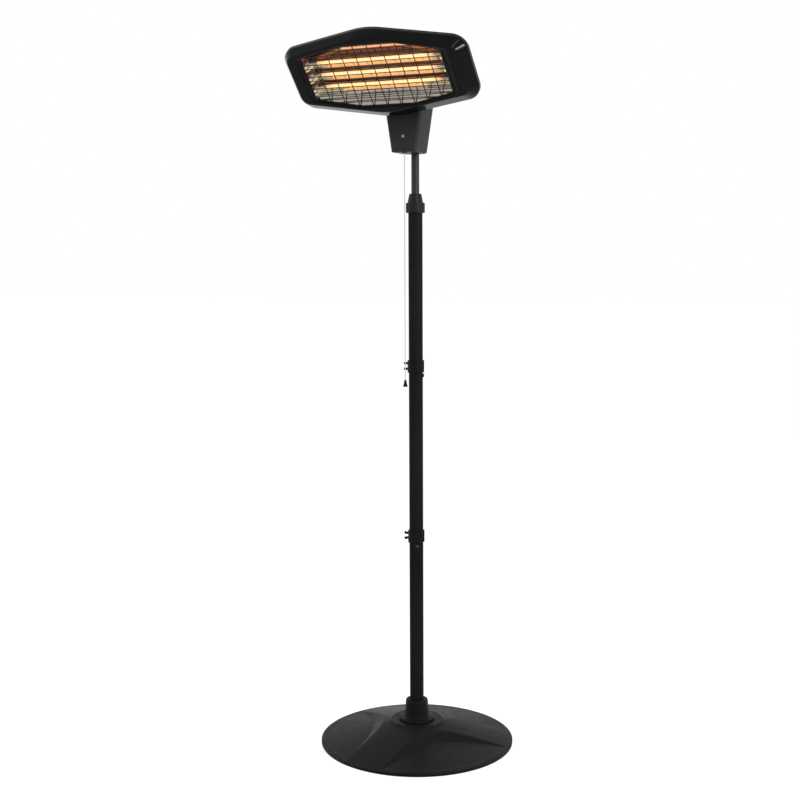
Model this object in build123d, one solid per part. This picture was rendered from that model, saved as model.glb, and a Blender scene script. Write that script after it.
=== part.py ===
from build123d import *
import os
from math import cos, radians, sin, sqrt, tan

# Infrared patio heater tower: a tilting lamp head on a telescopic mast, on a weighted round base.
# Millimetres. Origin on the floor at the mast's axis, +Z up, the lamp head faces -Y.

# ---------------------------------------------------------------- clearances
seat_gap = 0.3          # between faces that are assembled but not pressed together
slip_gap = 0.1          # radial, tube joints and screws in their holes
running_gap = 0.06      # radial, what turns or slides
pan_head_chamfer = 0.4  # share of a screw head's height that is chamfered

# ---------------------------------------------------------------- base
base_radius = 250.0
rim_height = 7.0        # lip of the cover
rim_bottom = 1.0        # lip above the floor
cover_sheet = 1.5
crown_radius = 66.0     # flat top of the cover
crown_height = 59.0
shoulder_radius = 75.0  # where the steep shoulder under the crown ends
shoulder_drop = 5.0     # from the crown down to the shoulder's foot
lobe_count = 3
lobe_turn = -40.3       # heading of the first lobe, degrees from +X
lobe_start = 104.0      # from the mast's axis to the middle of the step round the lobe
lobe_step_height = 39.0     # height of the step's middle there
lobe_arch_radius = 768.0    # plan radius of the step at that height
lobe_wall_slope = 35.0  # degrees, the step's slope
lobe_floor_radius = 95.0    # where the lobe's floor starts to fall towards the rim
lobe_floor_height = 34.0
foot_height = 4.5
foot_radius = 12.0
foot_count = 6
foot_margin = 35.0      # from the cover's edge to the feet's centres
foot_round = 1.5
plate_sheet = 1.5
ballast_margin = 26.0   # from the ballast's edge to the cover's
ballast_edge = 3.0      # thickness at the ballast's edge
ballast_slope_radius = 120.0
ballast_slope_height = 16.0
pedestal_radius = 44.0
pedestal_recess = 3.2   # the lowest tube stands this deep in the pedestal
plug_height = 14.0
base_bolt_radius = 5.0
base_bolt_head_width = 17.0
base_bolt_head_height = 6.4
base_washer_radius = 15.0
base_washer_height = 2.5
bolt_well_margin = 2.0

# ---------------------------------------------------------------- collar on the base
flange_radius = 46.5
flange_height = 6.0
collar_foot_radius = 32.0
collar_top_radius = 28.5
collar_height = 54.0
collar_round = 5.0
collar_foot_flare = 3.0
flange_round = 2.4

# ---------------------------------------------------------------- mast tubes
tube_radius = 18.0
tube_wall = 1.2
tube_length = 440.0
spigot_length = 60.0    # swaged end that enters the next tube
swage_length = 8.0
joint_screw_height = 28.0   # above each seam
joint_screw_radius = 2.5
joint_screw_head_radius = 4.75
joint_screw_head_height = 3.0
joint_screw_length = 9.0
lower_screw_heading = -58.4     # degrees from +X
upper_screw_heading = 25.0
clip_band = 3.0
clip_height = 31.0
clip_above_screw = 3.0  # from the screw head's top to the clip
clip_split = 50.0       # degrees, opening of the band away from the fingers
clip_cable_radius = 4.25
clip_finger = 3.0       # thickness of a finger
clip_finger_height = 6.0
clip_knob_radius = 2.25     # rounded tip of a finger
clip_finger_inset = 5.0     # from the clip's ends to its fingers

# ---------------------------------------------------------------- twist lock
sleeve_depth = 25.0
sleeve_flange = 3.0
sleeve_neck_radius = 15.5
sleeve_neck_height = 19.0
grip_radius = 24.0
grip_height = 25.0
grip_skirt = 2.0        # the grip hangs this far over the tube's end
grip_chamfer = 1.5
grip_rib_count = 18
grip_rib_depth = 1.2
cone_height = 22.5
cone_foot_radius = 19.75
cone_top_radius = 15.5
cone_chamfer = 1.0
collet_height = 15.0
collet_foot_radius = 14.6
collet_top_radius = 12.2
collet_slit = 1.2
collet_slit_count = 4
collet_solid_foot = 4.5

# ---------------------------------------------------------------- inner rod
rod_radius = 10.0
rod_wall = 1.5
rod_length = 508.0
rod_depth = 298.0       # how far the rod reaches down below the mast's end
bush_height = 25.0
end_cap_radius = 13.0
end_cap_flange = 3.0
end_cap_depth = 12.0
ring_height = 2.0

# ---------------------------------------------------------------- neck
neck_socket_depth = 66.0    # how far the rod's end reaches into the neck's socket
neck_height = 126.0
neck_front = -74.0
neck_rear = 21.0
neck_foot_half_width = 33.0
neck_head_half_width = 53.0
neck_front_radius = 9.0
neck_rear_radius = 31.0
neck_wall = 2.5
neck_split = -20.0      # the seam between the front and rear shells
neck_edge_radius = 4.0
neck_screw_rise = 38.5  # above the neck's foot
neck_screw_radius = 2.0
neck_screw_head_radius = 4.0
neck_screw_head_height = 2.4
neck_screw_sink = 1.6   # depth of the counterbore in the shell's face
neck_screw_length = 24.0
neck_boss_radius = 5.0
rear_screw_drop = 16.0  # below the neck's top
rear_well_radius = 5.0
rear_well_depth = 26.0

# ---------------------------------------------------------------- pull switch and its cord
cord_from_front = 10.0      # from the neck's front face back to the cord
cord_length = 576.3
cord_radius = 1.2
bell_height = 17.0
bell_top_radius = 2.5
bell_bottom_radius = 5.5
bell_waist_radius = 3.5
bell_waist_height = 9.4
bell_lip = 2.0
switch_width = 24.0
switch_depth = 14.0
switch_height = 22.0
switch_wall = 2.0
switch_rise = 10.0      # above the neck's foot
stem_radius = 2.2
stem_head_radius = 4.0
stem_head_height = 3.0
pull_travel = 8.0
spring_height = 14.0    # room left for the return spring under the stem's head
cord_bush_radius = 4.0
cord_bush_flange_radius = 5.5
cord_bush_flange = 1.5
cord_bush_length = 6.0
cord_bush_bore = 1.6

# ---------------------------------------------------------------- rod socket, terminals and cable entry
socket_radius = 15.0
socket_cover = 2.5      # the socket ends this far above the rod
socket_foot_radius = 17.5
socket_foot_height = 3.0
socket_shelf_sheet = 2.5
socket_bolt_radius = 2.5
socket_bolt_height = 20.0       # above the socket's foot
socket_bolt_head_radius = 4.5
socket_bolt_head_height = 3.5
terminal_width = 34.0
terminal_depth = 22.0
terminal_height = 16.0
terminal_y = -24.0
terminal_poles = 3
terminal_hole_radius = 2.6
terminal_slot = 1.6
gland_rise = 88.0       # above the neck's foot
gland_cable_radius = 4.25
gland_thread_radius = 6.0
gland_width = 20.0      # across the flats
gland_hexagon_height = 5.0
gland_cone_length = 12.0
gland_cone_radius = 6.2
gland_nut_height = 4.0

# ---------------------------------------------------------------- tilt hinge
hinge_from_front = 14.0     # from the neck's front face back to the hinge
hinge_rise = 36.0       # above the neck's top
knuckle_radius = 16.0
knuckle_half_width = 21.0
lug_thickness = 8.0
lug_radius = 15.0
friction_disc = 1.0
friction_disc_radius = 14.0
hinge_bolt_radius = 4.0
hinge_bolt_head_width = 13.0
hinge_bolt_head_height = 5.5
hinge_nut_height = 7.0
hinge_bolt_overhang = 2.0
hinge_washer_radius = 9.0
hinge_washer_height = 1.6
bracket_plate_half_width = 42.0
bracket_plate_height = 40.0
bracket_plate_v = -36.0     # centre of the plate on the housing's back
bracket_plate_sheet = 4.0
bracket_screw_radius = 2.5
bracket_screw_head_radius = 4.2
bracket_screw_head_height = 2.6
bracket_screw_length = 10.0
bracket_screw_u = 36.5
bracket_screw_v = 13.0

# ---------------------------------------------------------------- lamp head
head_tilt = 43.18       # degrees that the lamp faces down at rest
hinge_behind_face = 119.55   # from the bezel's front back to the hinge
hinge_below_middle = 113.3  # from the middle of the window down the face to the hinge
head_half_width = 236.0
head_half_height = 126.0
head_drop = 11.4        # the head's middle lies this far below the window's
head_slope = 10.65      # degrees, long edges
head_corner_radius = 41.0
head_apex_radius = 197.0
bezel_depth = 32.0
bezel_wall = 3.0
flank_depth = 26.0      # depth of the sloping flank round the bezel's face
flank_inset = 20.0      # how far the face lies inside the bezel's rim
face_edge_radius = 4.0
rim_edge_radius = 7.0
bezel_step = 3.0        # the band round the window lies this much deeper
bezel_lip_sheet = 2.0
step_end_width = 13.0   # from the window's end to the step
step_side_width = 3.0
window_half_width = 178.0
window_half_height = 84.5
window_flat = 70.0      # half-length of the window's straight middle
window_slope = 12.8     # degrees
window_corner_radius = 9.0
housing_side = 4.0      # straight part of the housing's wall
housing_taper = 50.0
housing_inset = 44.0    # how far the tapered back draws in
housing_wall = 2.5
housing_back_corner = 16.0
vent_width = 5.0
vent_pitch = 13.0
vents_per_side = 7
vent_first = 48.0       # from the middle to the first vent
vent_margin = 7.0       # from the ends of the tapered wall
housing_screw_u = 204.0
housing_screw_v = 40.0
housing_screw_radius = 1.9
housing_screw_head_radius = 3.8
housing_screw_head_height = 2.5
housing_screw_length = 24.0
housing_pillar_radius = 5.5
housing_pillar_split = 38.0     # below the face, where the two pillars meet
housing_screw_depth = 46.0      # below the face, where the screw heads seat

# ---------------------------------------------------------------- guard, lamps and reflector
wire_pitch = 36.16
wire_count = 9
wire_radius = 1.2
cross_pitch = 11.17
cross_count = 14
cross_radius = 1.0
cross_clearance = 0.2   # between the bezel's lip and the guard
cross_overhang = 1.0
frame_wire_radius = 1.5
frame_offset = 4.0      # from the window's edge to the frame wire
frame_corner_radius = 12.0
reflector_sheet = 0.8
reflector_opening = 4.0     # beyond the window's edge
reflector_end_flange = 12.0
reflector_side_flange = 3.0
reflector_side_draw = 30.0  # how far the sides draw in down to the floor
reflector_end_draw = 27.0
ridge_depth = 24.0
ridge_land = 2.5        # flat beside the outermost troughs
trough_radius = 20.1
trough_pitch = 33.5
lamp_count = 3
lamp_depth = 22.0
lamp_radius = 5.5
lamp_wall = 1.0
lamp_half_length = 176.0
coil_radius = 3.2
coil_half_length = 150.0
coil_pin_radius = 0.8
cap_radius = 8.5
cap_start = 170.0       # from the middle to the caps
cap_length = 20.0
cap_socket = 8.0
bracket_sheet = 1.2
bracket_at = 184.0
bracket_half_height = 48.0
bracket_tab = 10.0
reflector_screw_u = 189.0
reflector_screw_radius = 1.4
reflector_screw_head_radius = 2.8
reflector_screw_head_height = 1.8
reflector_screw_length = 7.0
reflector_boss_radius = 3.2
shield_depth = 45.0
shield_sheet = 0.8
shield_inset = 39.0
shield_corner_radius = 6.0

# ---------------------------------------------------------------- places worked out from the sizes above
on_floor = (Align.CENTER, Align.CENTER, Align.MIN)    # where a box or cone stands on z = 0
tube_bore = tube_radius - tube_wall
spigot_radius = tube_bore - slip_gap
spigot_bore = spigot_radius - tube_wall
plate_top = foot_height + plate_sheet
bolt_well_radius = base_washer_radius + bolt_well_margin
washer_bottom = plate_top + base_bolt_head_height
pedestal_top = crown_height - cover_sheet - seat_gap
tube_foot = pedestal_top - pedestal_recess
ballast_radius = base_radius - ballast_margin
shoulder_height = crown_height - shoulder_drop
lower_seam = tube_foot + tube_length
upper_seam = lower_seam + tube_length
tube_end = upper_seam + tube_length
sleeve_top = tube_end + sleeve_flange + sleeve_neck_height
grip_bottom = tube_end - grip_skirt
collar_top = grip_bottom + grip_height + cone_height
rod_bottom = tube_end - rod_depth
rod_top = rod_bottom + rod_length
neck_bottom = rod_top - neck_socket_depth
neck_top = neck_bottom + neck_height
neck_screw_height = neck_bottom + neck_screw_rise
rear_screw_height = neck_top - rear_screw_drop
switch_bottom = neck_bottom + switch_rise
gland_height = neck_bottom + gland_rise
cord_line = neck_front + cord_from_front
hinge_y = neck_front + hinge_from_front
hinge_z = neck_top + hinge_rise
neck_floor = neck_bottom + neck_wall
socket_top = rod_top + socket_cover
socket_height = socket_top - neck_floor
stem_head_bottom = switch_bottom + switch_wall + spring_height
stem_bottom = neck_bottom + cord_bush_length + pull_travel + seat_gap
cord_bottom = stem_bottom - cord_length
housing_knee = bezel_depth + housing_side
housing_back = housing_knee + housing_taper
lip_back = bezel_step + bezel_lip_sheet
cross_depth = lip_back + cross_clearance + cross_radius
upright_depth = cross_depth + cross_radius + wire_radius
frame_depth = cross_depth + cross_radius + frame_wire_radius
reflector_top = frame_depth + frame_wire_radius + cross_clearance
tab_top = reflector_top + reflector_sheet
tab_bottom = tab_top + bracket_sheet
trough_sagitta = trough_radius - sqrt(trough_radius ** 2 - (trough_pitch / 2) ** 2)
trough_bottom = ridge_depth + trough_sagitta
reflector_screw_v = trough_pitch / 2      # between the lamps
lug_inner = knuckle_half_width + friction_disc + seat_gap
lug_outer = lug_inner + lug_thickness
lamp_rows = [(row - (lamp_count - 1) / 2) * trough_pitch for row in range(lamp_count)]
face_axis = Vector(0, -cos(radians(head_tilt)), -sin(radians(head_tilt)))
face_up = Vector(0, -sin(radians(head_tilt)), cos(radians(head_tilt)))
face_centre = Vector(0, hinge_y, hinge_z) + face_axis * hinge_behind_face + face_up * hinge_below_middle
face_plane = Plane(origin=face_centre, x_dir=(1, 0, 0), z_dir=face_axis)


# ---------------------------------------------------------------- helpers
def post(radius, height):
    """A cylinder standing on z = 0."""
    return Cylinder(radius, height, align=on_floor)


def ring(outer, inner, height):
    """A tube standing on z = 0."""
    return post(outer, height) - post(inner, height)


def hexagon_bar(width, height):
    """A hexagonal bar standing on z = 0, with its width across the flats."""
    return extrude(RegularPolygon(width / 2, 6, major_radius=False), height)


def turned(points):
    """Revolves an outline of (radius, height) points about Z."""
    return revolve(make_face(Plane.XZ * Polyline(*points, close=True)), Axis.Z)


def around(part, heading):
    """Turns a part about the mast's axis."""
    return Rot(0, 0, heading) * part


def along_x(part):
    """Lays a part that stands on z = 0 so that it points to +X."""
    return Rot(0, 90, 0) * part


def along_y(part):
    """Lays a part that stands on z = 0 so that it points to +Y."""
    return Rot(-90, 0, 0) * part


def in_head(part):
    """Puts a part of the lamp head in place: x across, y up the face, z out of the face."""
    return face_plane.location * part


def pan_screw(radius, length, head_radius, head_height):
    """A screw with its seat on z = 0, its rounded head above and its shank below."""
    chamfer = head_height * pan_head_chamfer
    head = turned([(0, 0), (head_radius, 0), (head_radius, head_height - chamfer),
                   (head_radius - chamfer, head_height), (0, head_height)])
    return head + Pos(0, 0, -length) * post(radius, length)


def group(parts):
    """Several separate solids in one node."""
    return Compound(children=list(parts))


def four_corners(u, v):
    """The four places at plus and minus u and v."""
    return [(x, y) for x in (-u, u) for y in (-v, v)]


# ---------------------------------------------------------------- outlines of the lamp head
def head_outline(inset, corner=None, drop=head_drop):
    """The six-sided outline of the lamp head, drawn in by an inset and set below the window's middle."""
    slope = radians(head_slope)
    half_width = head_half_width - inset
    half_height = head_half_height - inset / cos(slope)
    end_height = half_height - half_width * tan(slope)
    corners = [(half_width, end_height), (0, half_height), (-half_width, end_height),
               (-half_width, -end_height), (0, -half_height), (half_width, -end_height)]
    face = make_face(Polyline(*corners, close=True))
    ends = [vertex for vertex in face.vertices() if abs(vertex.X) > 1]
    face = fillet(ends, corner or head_corner_radius - inset)
    apexes = [vertex for vertex in face.vertices() if abs(vertex.X) < 1]
    return Pos(0, -drop, 0) * fillet(apexes, head_apex_radius)


def window_edge(x, grow):
    """Half-height of the window, grown by a margin, at a distance from its middle."""
    slope = radians(window_slope)
    flat = window_flat + grow * tan(slope / 2)
    return window_half_height + grow - max(0, abs(x) - flat) * tan(slope)


def window_outline(grow_end, grow_side):
    """The eight-sided window, grown at its ends and at its long sides."""
    half_width = window_half_width + grow_end
    half_height = window_half_height + grow_side
    flat = window_flat + grow_side * tan(radians(window_slope / 2))
    end_height = window_edge(half_width, grow_side)
    upper = [(half_width, end_height), (flat, half_height), (-flat, half_height), (-half_width, end_height)]
    lower = [(x, -y) for x, y in reversed(upper)]
    return make_face(Polyline(*upper, *lower, close=True))


def rounded_window(grow_end, grow_side, corner):
    """The window's outline with rounded corners."""
    face = window_outline(grow_end, grow_side)
    return fillet(face.vertices(), corner)


# ---------------------------------------------------------------- base
def cover_form(sink):
    """The domed cover as a solid; sink moves its surface in by the sheet's thickness."""
    radius = base_radius - sink
    rim_top = rim_bottom + rim_height - sink
    return turned([(0, rim_bottom), (radius, rim_bottom), (radius, rim_top),
                   (radius - rim_height, rim_top + 1), (shoulder_radius - sink, shoulder_height - sink),
                   (crown_radius - sink, crown_height - sink), (0, crown_height - sink)])


def lobe_cutter(sink):
    """What one lobe presses away: everything above its floor, inside a sloping step round an arch."""
    rise = 2 * crown_height
    slope = radians(lobe_wall_slope)
    foot = lobe_arch_radius - lobe_step_height / tan(slope) + sink / sin(slope)
    centre = lobe_start + lobe_arch_radius
    arch = Pos(centre, 0, 0) * Cone(foot, foot + rise / tan(slope), rise, align=on_floor)
    rim = base_radius + 1
    above_floor = turned([(0, lobe_floor_height - sink), (lobe_floor_radius, lobe_floor_height - sink),
                          (rim, rim_bottom + rim_height - sink), (rim, rise), (0, rise)])
    return arch & above_floor


def dome(sink):
    """The cover's form with its lobes pressed in."""
    form = cover_form(sink)
    for lobe in range(lobe_count):
        form -= around(lobe_cutter(sink), lobe_turn + lobe * 360 / lobe_count)
    return form


def make_base_cover():
    return dome(0) - dome(cover_sheet) - post(tube_radius + seat_gap, crown_height * 2)


def make_ballast():
    body = turned([(0, plate_top), (ballast_radius, plate_top), (ballast_radius, plate_top + ballast_edge),
                   (ballast_slope_radius, plate_top + ballast_slope_height),
                   (pedestal_radius, plate_top + ballast_slope_height), (pedestal_radius, pedestal_top),
                   (0, pedestal_top)])
    well = Pos(0, 0, plate_top) * post(bolt_well_radius, base_bolt_head_height + base_washer_height)
    recess = Pos(0, 0, tube_foot) * post(tube_radius + slip_gap, pedestal_recess)
    return body - well - recess - post(base_bolt_radius + slip_gap, crown_height)


def make_base_plate():
    disc = ring(base_radius - cover_sheet - seat_gap, bolt_well_radius, plate_sheet)
    return Pos(0, 0, foot_height) * disc


def make_rubber_feet():
    pad = post(foot_radius, foot_height)
    pad = fillet(pad.faces().sort_by(Axis.Z)[0].edges(), foot_round)
    pad = Pos(base_radius - foot_margin, 0, 0) * pad
    return group([around(pad, step * 360 / foot_count) for step in range(foot_count)])


def make_centre_foot():
    return post(bolt_well_radius - seat_gap, plate_top - seat_gap)


def make_base_bolt():
    head = Pos(0, 0, plate_top) * hexagon_bar(base_bolt_head_width, base_bolt_head_height)
    shank_length = tube_foot + plug_height - washer_bottom
    return head + Pos(0, 0, washer_bottom) * post(base_bolt_radius, shank_length)


def make_base_washer():
    washer = ring(base_washer_radius, base_bolt_radius + slip_gap, base_washer_height)
    return Pos(0, 0, washer_bottom) * washer


def make_tube_foot_plug():
    return Pos(0, 0, tube_foot) * ring(tube_bore, base_bolt_radius, plug_height)


def make_base_collar():
    bore = tube_radius + slip_gap
    top = crown_height + collar_height
    shelf = crown_height + flange_height
    body = turned([(bore, crown_height), (flange_radius, crown_height), (flange_radius, shelf),
                   (collar_foot_radius + collar_foot_flare, shelf),
                   (collar_foot_radius, shelf + collar_foot_flare), (collar_top_radius, top), (bore, top)])
    circles = body.edges().filter_by(GeomType.CIRCLE)
    shoulder = [edge for edge in circles if abs(edge.radius - collar_top_radius) < 0.01]
    body = fillet(shoulder, collar_round)
    upper = [edge for edge in body.edges().filter_by(GeomType.CIRCLE) if edge.center().Z > shelf - 0.01]
    return fillet([edge for edge in upper if abs(edge.radius - flange_radius) < 0.01], flange_round)


# ---------------------------------------------------------------- mast tubes
def screw_hole(seam, heading):
    """Radial hole for the screw of one tube joint."""
    hole = along_x(post(joint_screw_radius + slip_gap, 2 * tube_radius))
    return around(Pos(0, 0, seam + joint_screw_height) * hole, heading)


def swaged_tube(foot):
    """A tube whose upper end is drawn in, so that the next one slips over it."""
    seam = foot + tube_length
    return turned([(tube_bore, foot), (tube_radius, foot), (tube_radius, seam), (spigot_radius, seam),
                   (spigot_radius, seam + spigot_length), (spigot_bore, seam + spigot_length),
                   (spigot_bore, seam), (tube_bore, seam - swage_length)])


def make_lower_tube():
    return swaged_tube(tube_foot) - screw_hole(lower_seam, lower_screw_heading)


def make_middle_tube():
    tube = swaged_tube(lower_seam) - screw_hole(lower_seam, lower_screw_heading)
    return tube - screw_hole(upper_seam, upper_screw_heading)


def make_upper_tube():
    tube = Pos(0, 0, upper_seam) * ring(tube_radius, tube_bore, tube_length)
    return tube - screw_hole(upper_seam, upper_screw_heading)


def make_joint_screws():
    bolt = pan_screw(joint_screw_radius, joint_screw_length, joint_screw_head_radius, joint_screw_head_height)
    placed = Pos(tube_radius, 0, joint_screw_height) * along_x(bolt)
    return group([around(Pos(0, 0, lower_seam) * placed, lower_screw_heading),
                  around(Pos(0, 0, upper_seam) * placed, upper_screw_heading)])


def make_cable_clip(seam):
    """A split band round the tube with two fingers that curl opposite ways round a cable."""
    inner = tube_radius + slip_gap
    outer = inner + clip_band
    reach = outer * 2
    mouth_edge = reach * tan(radians(clip_split / 2))
    mouth = make_face(Polyline((0, 0), (reach, -mouth_edge), (reach, mouth_edge), close=True))
    band = ring(outer, inner, clip_height) - extrude(mouth, clip_height)
    curl = clip_cable_radius + clip_finger
    middle = clip_cable_radius + clip_finger / 2
    centre = -(outer + clip_cable_radius)
    knob = Pos(-middle, 0, 0) * post(clip_knob_radius, clip_finger_height)
    clip = band
    for side in (0, 180):
        half = Pos(0, 2 * curl, 0) * Box(4 * curl, 4 * curl, 4 * clip_height)
        arc = ring(curl, clip_cable_radius, clip_finger_height) & Rot(0, 0, side) * half
        root = Pos(middle, 0, 0) * Box(clip_finger, clip_finger, clip_finger_height, align=on_floor)
        height = clip_finger_inset if side == 0 else clip_height - clip_finger_inset - clip_finger_height
        clip += Pos(centre, 0, height) * (arc + knob + root)
    clip -= post(inner, clip_height)
    foot = seam + joint_screw_height + joint_screw_head_radius + clip_above_screw
    return Pos(0, 0, foot) * clip


# ---------------------------------------------------------------- twist lock
def make_lock_sleeve():
    bore = rod_radius + running_gap
    foot = tube_end - sleeve_depth
    shelf = tube_end + sleeve_flange
    return turned([(bore, foot), (tube_bore, foot), (tube_bore, tube_end), (tube_radius, tube_end),
                   (tube_radius, shelf), (sleeve_neck_radius, shelf), (sleeve_neck_radius, sleeve_top),
                   (bore, sleeve_top)])


def make_lock_collet():
    bore = rod_radius + running_gap
    body = turned([(bore, 0), (collet_foot_radius, 0), (collet_top_radius, collet_height),
                   (bore, collet_height)])
    slit = Pos(0, 0, collet_solid_foot) * Box(collet_foot_radius * 2, collet_slit, collet_height,
                                              align=(Align.MIN, Align.CENTER, Align.MIN))
    for step in range(collet_slit_count):
        body -= around(slit, step * 360 / collet_slit_count)
    return Pos(0, 0, sleeve_top) * body


def make_twist_collar():
    grip_top = grip_bottom + grip_height
    nut_bottom = tube_end + sleeve_flange + seat_gap
    nut_bore = sleeve_neck_radius + running_gap
    collet_foot = sleeve_top + seat_gap
    collet_top = sleeve_top + collet_height + seat_gap
    body = turned([
        (tube_radius + seat_gap, grip_bottom), (grip_radius - grip_chamfer, grip_bottom),
        (grip_radius, grip_bottom + grip_chamfer), (grip_radius, grip_top - grip_chamfer),
        (grip_radius - grip_chamfer, grip_top), (cone_foot_radius, grip_top),
        (cone_top_radius, collar_top - cone_chamfer), (cone_top_radius - cone_chamfer, collar_top),
        (rod_radius + seat_gap, collar_top), (rod_radius + seat_gap, collet_top),
        (collet_top_radius + seat_gap, collet_top), (collet_foot_radius + seat_gap, collet_foot),
        (nut_bore, collet_foot), (nut_bore, nut_bottom), (tube_radius + seat_gap, nut_bottom)])
    groove = Pos(grip_radius, 0, grip_bottom) * post(grip_rib_depth, grip_height)
    for step in range(grip_rib_count):
        body -= around(groove, step * 360 / grip_rib_count)
    return body


# ---------------------------------------------------------------- inner rod
def make_inner_rod():
    rod = Pos(0, 0, rod_bottom) * ring(rod_radius, rod_radius - rod_wall, rod_length)
    bolt_hole = along_x(Pos(0, 0, -socket_radius) * post(socket_bolt_radius + slip_gap, 2 * socket_radius))
    return rod - Pos(0, 0, neck_floor + socket_bolt_height) * bolt_hole


def make_guide_bush():
    return Pos(0, 0, rod_bottom) * ring(tube_bore - running_gap, rod_radius + running_gap, bush_height)


def make_rod_end_cap():
    flange = Pos(0, 0, rod_bottom - end_cap_flange - seat_gap) * post(end_cap_radius, end_cap_flange)
    plug = Pos(0, 0, rod_bottom - seat_gap) * post(rod_radius - rod_wall, end_cap_depth)
    return flange + plug


def make_retaining_ring():
    return Pos(0, 0, rod_bottom + bush_height + seat_gap) * ring(end_cap_radius, rod_radius, ring_height)


# ---------------------------------------------------------------- neck
def neck_section(height, inset):
    """Plan of the neck at a height: flat front, sides that spread upwards, rounded back."""
    share = (height - neck_bottom) / (neck_top - neck_bottom)
    half_width = neck_foot_half_width + share * (neck_head_half_width - neck_foot_half_width) - inset
    front = neck_front + inset
    rear = neck_rear - inset
    face = make_face(Polyline((-half_width, front), (half_width, front), (half_width, rear),
                              (-half_width, rear), close=True))
    face = fillet([vertex for vertex in face.vertices() if vertex.Y < neck_split], neck_front_radius - inset)
    corners = [vertex for vertex in face.vertices() if vertex.Y > neck_split]
    return Pos(0, 0, height) * fillet(corners, neck_rear_radius - inset)


def neck_form(inset):
    """The neck as a solid, drawn in on all sides by an inset."""
    return loft([neck_section(neck_bottom + inset, inset), neck_section(neck_top - inset, inset)], ruled=True)


def neck_outside():
    """The neck's outer form with its bottom and top edges rounded."""
    form = neck_form(0)
    ends = form.faces().sort_by(Axis.Z)
    return fillet(ends[0].edges() + ends[-1].edges(), neck_edge_radius)


def neck_side(front):
    """A large box that covers the front or the rear of the neck's seam."""
    size = 4 * (neck_top - neck_bottom)
    shift = -(size + seat_gap) / 2 if front else (size + seat_gap) / 2
    return Pos(0, neck_split + shift, neck_bottom) * Box(size, size, size)


def make_neck_front_shell():
    shell = (neck_outside() - neck_form(neck_wall)) & neck_side(True)
    knuckle = along_x(Pos(0, 0, -knuckle_half_width) * post(knuckle_radius, 2 * knuckle_half_width))
    web_height = hinge_z - neck_top + neck_wall
    web = Box(2 * knuckle_half_width, 2 * knuckle_radius, web_height,
              align=(Align.CENTER, Align.CENTER, Align.MAX))
    shell += Pos(0, hinge_y, hinge_z) * (knuckle + web)
    boss_front = neck_front + neck_wall
    rear_boss = neck_split - seat_gap / 2 - boss_front
    shell += Pos(0, boss_front, rear_screw_height) * along_y(post(neck_boss_radius, rear_boss))
    screw_seat = neck_front + neck_screw_sink
    post_front = screw_seat + neck_boss_radius
    shell += Pos(0, screw_seat, neck_screw_height) * along_y(post(neck_boss_radius, neck_boss_radius))
    well = post(neck_screw_head_radius + seat_gap, neck_screw_sink)
    shell -= Pos(0, neck_front, neck_screw_height) * along_y(well)
    shell -= Pos(0, neck_front, neck_screw_height) * along_y(
        post(neck_screw_radius + slip_gap, post_front - neck_front + seat_gap))
    shell -= Pos(0, cord_line, neck_bottom - 1) * post(cord_bush_radius + slip_gap, neck_wall + 2)
    rear_pilot = neck_screw_length - (neck_split - (neck_rear - rear_well_depth)) + 1
    shell -= Pos(0, neck_split - rear_pilot, rear_screw_height) * along_y(post(neck_screw_radius, rear_pilot))
    bolt_hole = Pos(0, 0, -knuckle_half_width) * post(hinge_bolt_radius + running_gap, 2 * knuckle_half_width)
    return shell - Pos(0, hinge_y, hinge_z) * along_x(bolt_hole)


def make_neck_rear_shell():
    shell = (neck_outside() - neck_form(neck_wall)) & neck_side(False)
    boss_length = neck_rear - neck_wall - neck_split - seat_gap / 2
    boss = Pos(0, neck_split + seat_gap / 2, rear_screw_height) * along_y(
        post(rear_well_radius + neck_wall, boss_length))
    well = Pos(0, neck_rear - rear_well_depth, rear_screw_height) * along_y(
        post(rear_well_radius, rear_well_depth))
    hole = Pos(0, neck_split, rear_screw_height) * along_y(
        post(neck_screw_radius + slip_gap, neck_rear - neck_split))
    rod_hole = Pos(0, 0, neck_bottom - 1) * post(rod_radius + slip_gap, neck_wall + 2)
    gland_hole = Pos(0, neck_rear - neck_wall - 1, gland_height) * along_y(
        post(gland_thread_radius + slip_gap, neck_wall + 2))
    return shell + boss - well - hole - rod_hole - gland_hole


def make_neck_screws():
    bolt = pan_screw(neck_screw_radius, neck_screw_length, neck_screw_head_radius, neck_screw_head_height)
    front = Pos(0, neck_front + neck_screw_sink, neck_screw_height) * Rot(90, 0, 0) * bolt
    rear = Pos(0, neck_rear - rear_well_depth, rear_screw_height) * Rot(-90, 0, 0) * bolt
    return group([front, rear])


def make_rod_socket():
    body = ring(socket_radius, rod_radius + slip_gap, socket_height)
    body += ring(socket_foot_radius, rod_radius + slip_gap, socket_foot_height)
    post_front = neck_front + neck_screw_sink + neck_boss_radius + seat_gap
    arm = Pos(0, post_front, neck_screw_height - neck_floor) * along_y(
        post(neck_boss_radius, -socket_radius + 1 - post_front))
    pilot = Pos(0, post_front, neck_screw_height - neck_floor) * along_y(
        post(neck_screw_radius, neck_screw_length - neck_boss_radius + 1))
    shelf_front = terminal_y - terminal_depth / 2
    shelf = Pos(0, shelf_front, socket_height - socket_shelf_sheet) * Box(
        terminal_width, socket_radius - shelf_front, socket_shelf_sheet,
        align=(Align.CENTER, Align.MIN, Align.MIN))
    rod_room = post(rod_radius + slip_gap, socket_height)
    bolt_hole = Pos(0, 0, -socket_radius) * post(socket_bolt_radius + slip_gap, 2 * socket_radius)
    body = body + arm + shelf - rod_room - pilot - Pos(0, 0, socket_bolt_height) * along_x(bolt_hole)
    return Pos(0, 0, neck_floor) * body


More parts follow.
